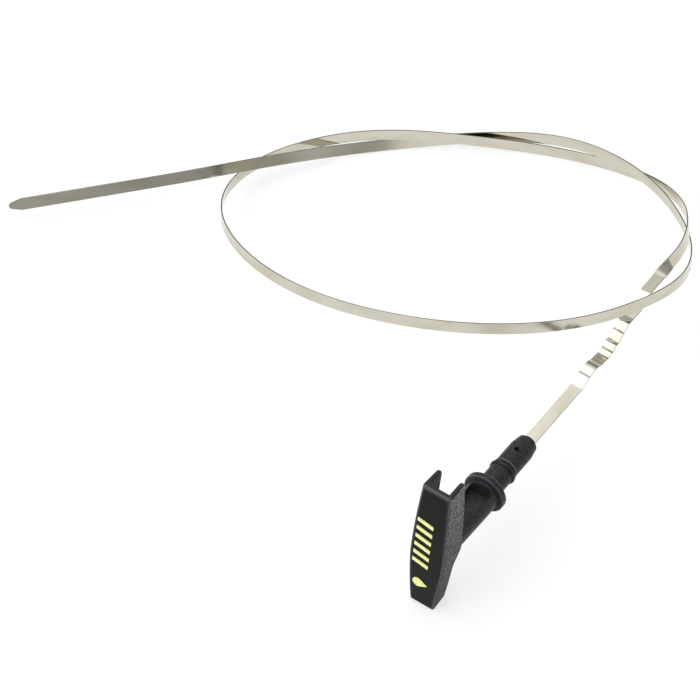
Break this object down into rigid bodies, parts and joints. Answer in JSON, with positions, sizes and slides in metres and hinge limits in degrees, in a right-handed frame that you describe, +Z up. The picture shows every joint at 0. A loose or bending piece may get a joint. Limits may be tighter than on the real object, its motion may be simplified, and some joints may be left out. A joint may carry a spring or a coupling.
{
  "type": "engine oil dipstick",
  "caption": "Engine oil dipstick: moulded T-handle with flange and sealing ring, and a flat spring-steel strip with crimped waves, wound in an open oval coil.",
  "frame": {"origin": "middle of the footprint of the whole part as it lies, on the surface it lies on", "axes": "+Z up; +X to the right and +Y away from the viewer of the picture, with the strip's free tip to -X and the handle to -Y"},
  "size_m": [0.3084, 0.2802, 0.0758],
  "materials": {
    "handle": "satin black moulding, side walls finely grained",
    "o_ring": "matt black rubber",
    "blade": "satin rolled spring steel",
    "marks": "pale yellow hot-stamped marks on the grip"
  },
  "bodies": {
    "root": {"handle": "handle", "o_ring": "o_ring", "blade": "blade"}
  },
  "joints": []
}
